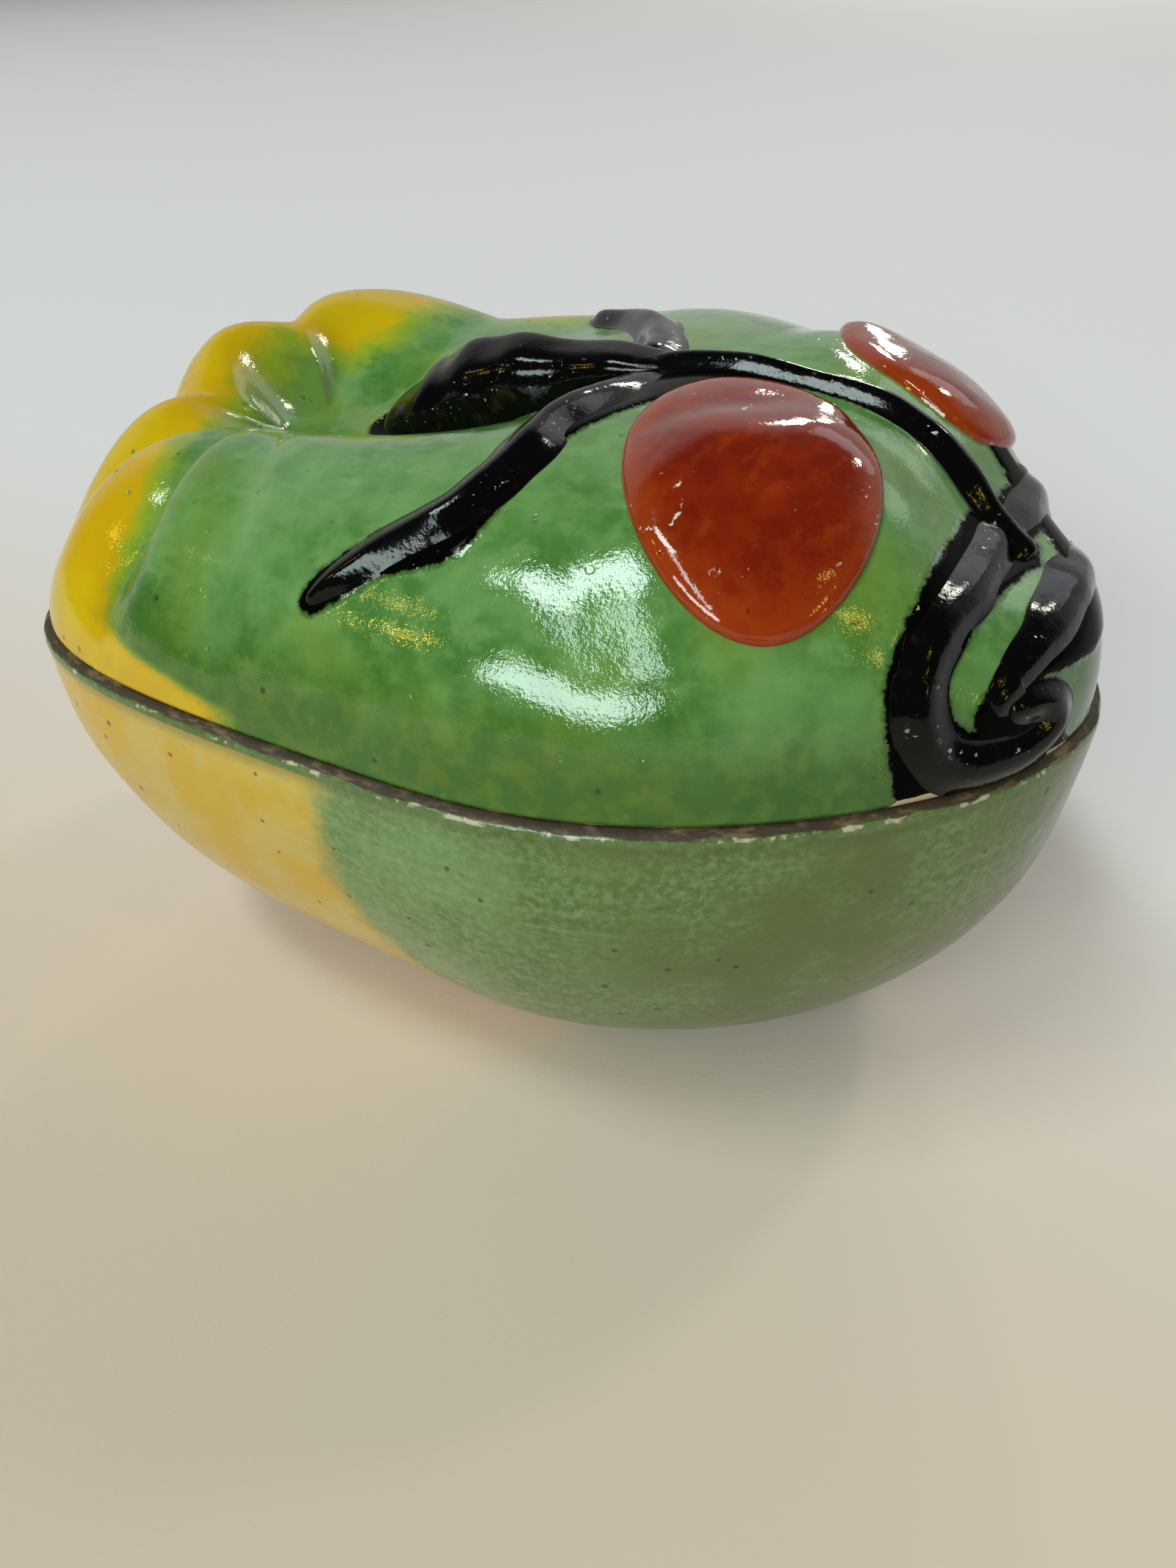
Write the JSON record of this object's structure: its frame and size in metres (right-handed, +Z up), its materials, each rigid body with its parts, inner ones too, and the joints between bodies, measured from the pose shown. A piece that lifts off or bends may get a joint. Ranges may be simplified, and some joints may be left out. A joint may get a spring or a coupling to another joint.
{
  "type": "covered box",
  "caption": "Glazed ceramic covered box in the form of a ribbed gourd lying down: boat-shaped bowl and domed lift-off lid with twig handle, berries and scrolls.",
  "frame": {"origin": "centre of the bounding box at the flat foot, on the table", "axes": "+X along the gourd from the lobed end to the nose, +Y to the back side, +Z up"},
  "size_m": [0.1278, 0.0944, 0.0806],
  "materials": {
    "bowl_glaze": "gloss",
    "lid_glaze": "gloss",
    "twig_glaze": "gloss",
    "berry_glaze": "gloss"
  },
  "bodies": {
    "bowl": {"base_bowl": "bowl_glaze"},
    "lid": {"lid_shell": "lid_glaze", "handle": "twig_glaze", "main_stem": "twig_glaze", "twig_front": "twig_glaze", "twig_back": "twig_glaze", "scroll_front": "twig_glaze", "scroll_back": "twig_glaze", "nose_band": "twig_glaze", "berry_front": "berry_glaze", "berry_back": "berry_glaze"}
  },
  "joints": [
    {"name": "lid_lift", "type": "slide", "parent": "bowl", "child": "lid", "axis": [0, 0, 1], "range_m": [0, 0.06]}
  ]
}
